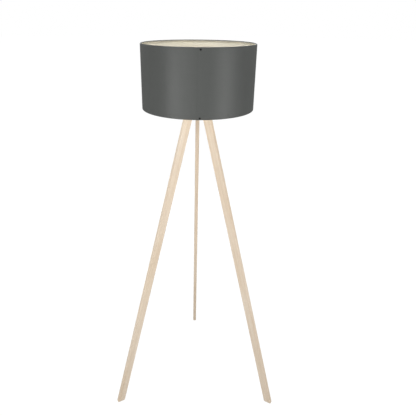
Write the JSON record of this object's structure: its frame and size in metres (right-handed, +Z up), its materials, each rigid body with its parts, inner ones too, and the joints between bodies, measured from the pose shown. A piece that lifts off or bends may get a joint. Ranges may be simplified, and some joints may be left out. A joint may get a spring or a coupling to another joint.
{
  "type": "tripod floor lamp",
  "caption": "Floor lamp with a fabric drum shade clamped on a lampholder, carried by a folding tripod of straight timber slats.",
  "frame": {"origin": "floor level, under the middle of the whole lamp's bounding box; the lamp's own vertical axis stands at x = 0, y = -0.0903 m", "axes": "+Z up; the back leg points along +Y and the lamp's front, between the other two legs, faces -Y; +X is to the right seen from the front"},
  "size_m": [0.6488, 0.5621, 1.4],
  "materials": {
    "timber": "clear matt lacquer",
    "pad_rubber": "matt",
    "coated_steel": "satin powder coat",
    "zinc_steel": "zinc plated",
    "shade_fabric": "fine satin weave",
    "shade_lining": "satin",
    "shade_wire": "white gloss",
    "rivet_plastic": "satin",
    "holder_plastic": "satin",
    "insert_ceramic": "unglazed",
    "contact_brass": "bright",
    "bulb_cap_metal": "nickel plated",
    "bulb_insulation": "gloss",
    "bulb_body": "satin",
    "bulb_opal": "opal",
    "board_aluminium": "white solder resist"
  },
  "bodies": {
    "lamp": {"hub_plate": "coated_steel", "leg_bracket_left": "coated_steel", "leg_bracket_right": "coated_steel", "leg_bracket_back": "coated_steel", "bracket_rivets": "zinc_steel", "pivot_bolts": "zinc_steel", "pivot_washers": "zinc_steel", "pivot_nuts": "zinc_steel", "threaded_nipple": "zinc_steel", "nipple_locknut": "zinc_steel", "seat_washer": "zinc_steel", "shade_cover": "shade_fabric", "shade_liner": "shade_lining", "shade_wire_top": "shade_wire", "shade_wire_bottom": "shade_wire", "spider_arm_front": "shade_wire", "spider_arm_left": "shade_wire", "spider_arm_right": "shade_wire", "fitter_ring": "shade_wire", "seam_rivets": "rivet_plastic", "cord_bush": "holder_plastic", "holder_cap": "holder_plastic", "holder_skirt": "holder_plastic", "shade_ring_lower": "holder_plastic", "shade_ring_upper": "holder_plastic", "holder_insert": "insert_ceramic", "screw_shell": "contact_brass", "centre_contact": "contact_brass", "terminal_screws": "contact_brass"},
    "left_leg": {"leg_left": "timber", "foot_pad_left": "pad_rubber"},
    "right_leg": {"leg_right": "timber", "foot_pad_right": "pad_rubber"},
    "back_leg": {"leg_back": "timber", "foot_pad_back": "pad_rubber"},
    "bulb": {"bulb_contact": "bulb_cap_metal", "bulb_insulator": "bulb_insulation", "bulb_screw_cap": "bulb_cap_metal", "bulb_housing": "bulb_body", "bulb_globe": "bulb_opal", "led_board": "board_aluminium"}
  },
  "joints": [
    {"name": "leg_left_fold", "type": "hinge", "parent": "lamp", "child": "left_leg", "pos_m": [-0.0236, -0.10389, 1.2], "axis": [0.5, -0.866, 0], "range_deg": [0, 15.2]},
    {"name": "leg_right_fold", "type": "hinge", "parent": "lamp", "child": "right_leg", "pos_m": [0.0236, -0.10389, 1.2], "axis": [0.5, 0.866, 0], "range_deg": [0, 15.2]},
    {"name": "leg_back_fold", "type": "hinge", "parent": "lamp", "child": "back_leg", "pos_m": [0, -0.06301, 1.2], "axis": [-1, 0, 0], "range_deg": [0, 15.2]},
    {"name": "bulb_unscrew", "type": "slide", "parent": "lamp", "child": "bulb", "axis": [0, 0, 1], "range_m": [0, 0.15]}
  ]
}
